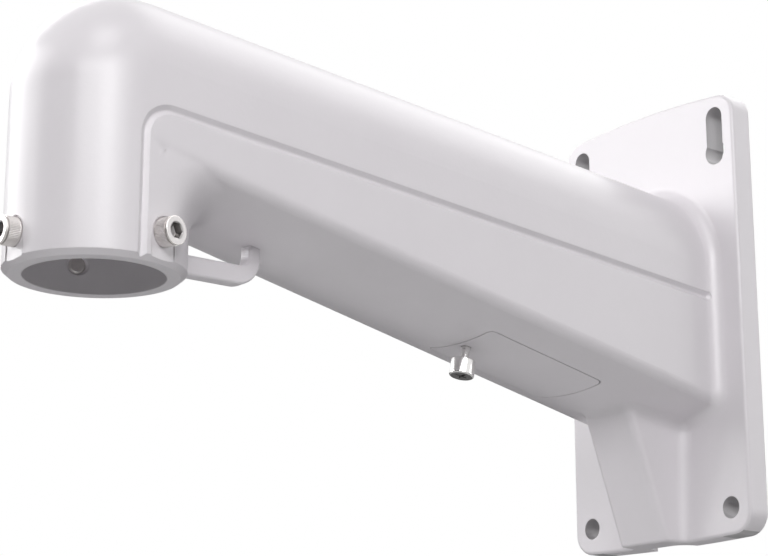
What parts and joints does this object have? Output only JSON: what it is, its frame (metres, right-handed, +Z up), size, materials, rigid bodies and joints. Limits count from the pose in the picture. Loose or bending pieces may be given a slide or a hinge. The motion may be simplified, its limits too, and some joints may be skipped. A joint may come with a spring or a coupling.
{
  "type": "camera wall bracket",
  "caption": "Cast wall arm with an elbow and a downward collar that clamps a camera's tube, a cable hatch and screw underneath, a rope eyelet and a drilled wall plate.",
  "frame": {"origin": "middle of the wall plate's back face, which is also the middle of its four screw places", "axes": "+Z up, the wall is the plane Y = 0 and the arm runs away from it towards -Y, X across"},
  "size_m": [0.098, 0.3108, 0.1826],
  "materials": {
    "white_paint": "satin",
    "white_cover": "satin",
    "bright_screw": "polished",
    "steel_screw": "satin"
  },
  "bodies": {
    "root": {"bracket_casting": "white_paint", "access_cover": "white_cover", "cover_screw": "bright_screw", "clamp_screw_front": "steel_screw", "clamp_screw_right": "steel_screw", "clamp_screw_left": "steel_screw"}
  },
  "joints": []
}
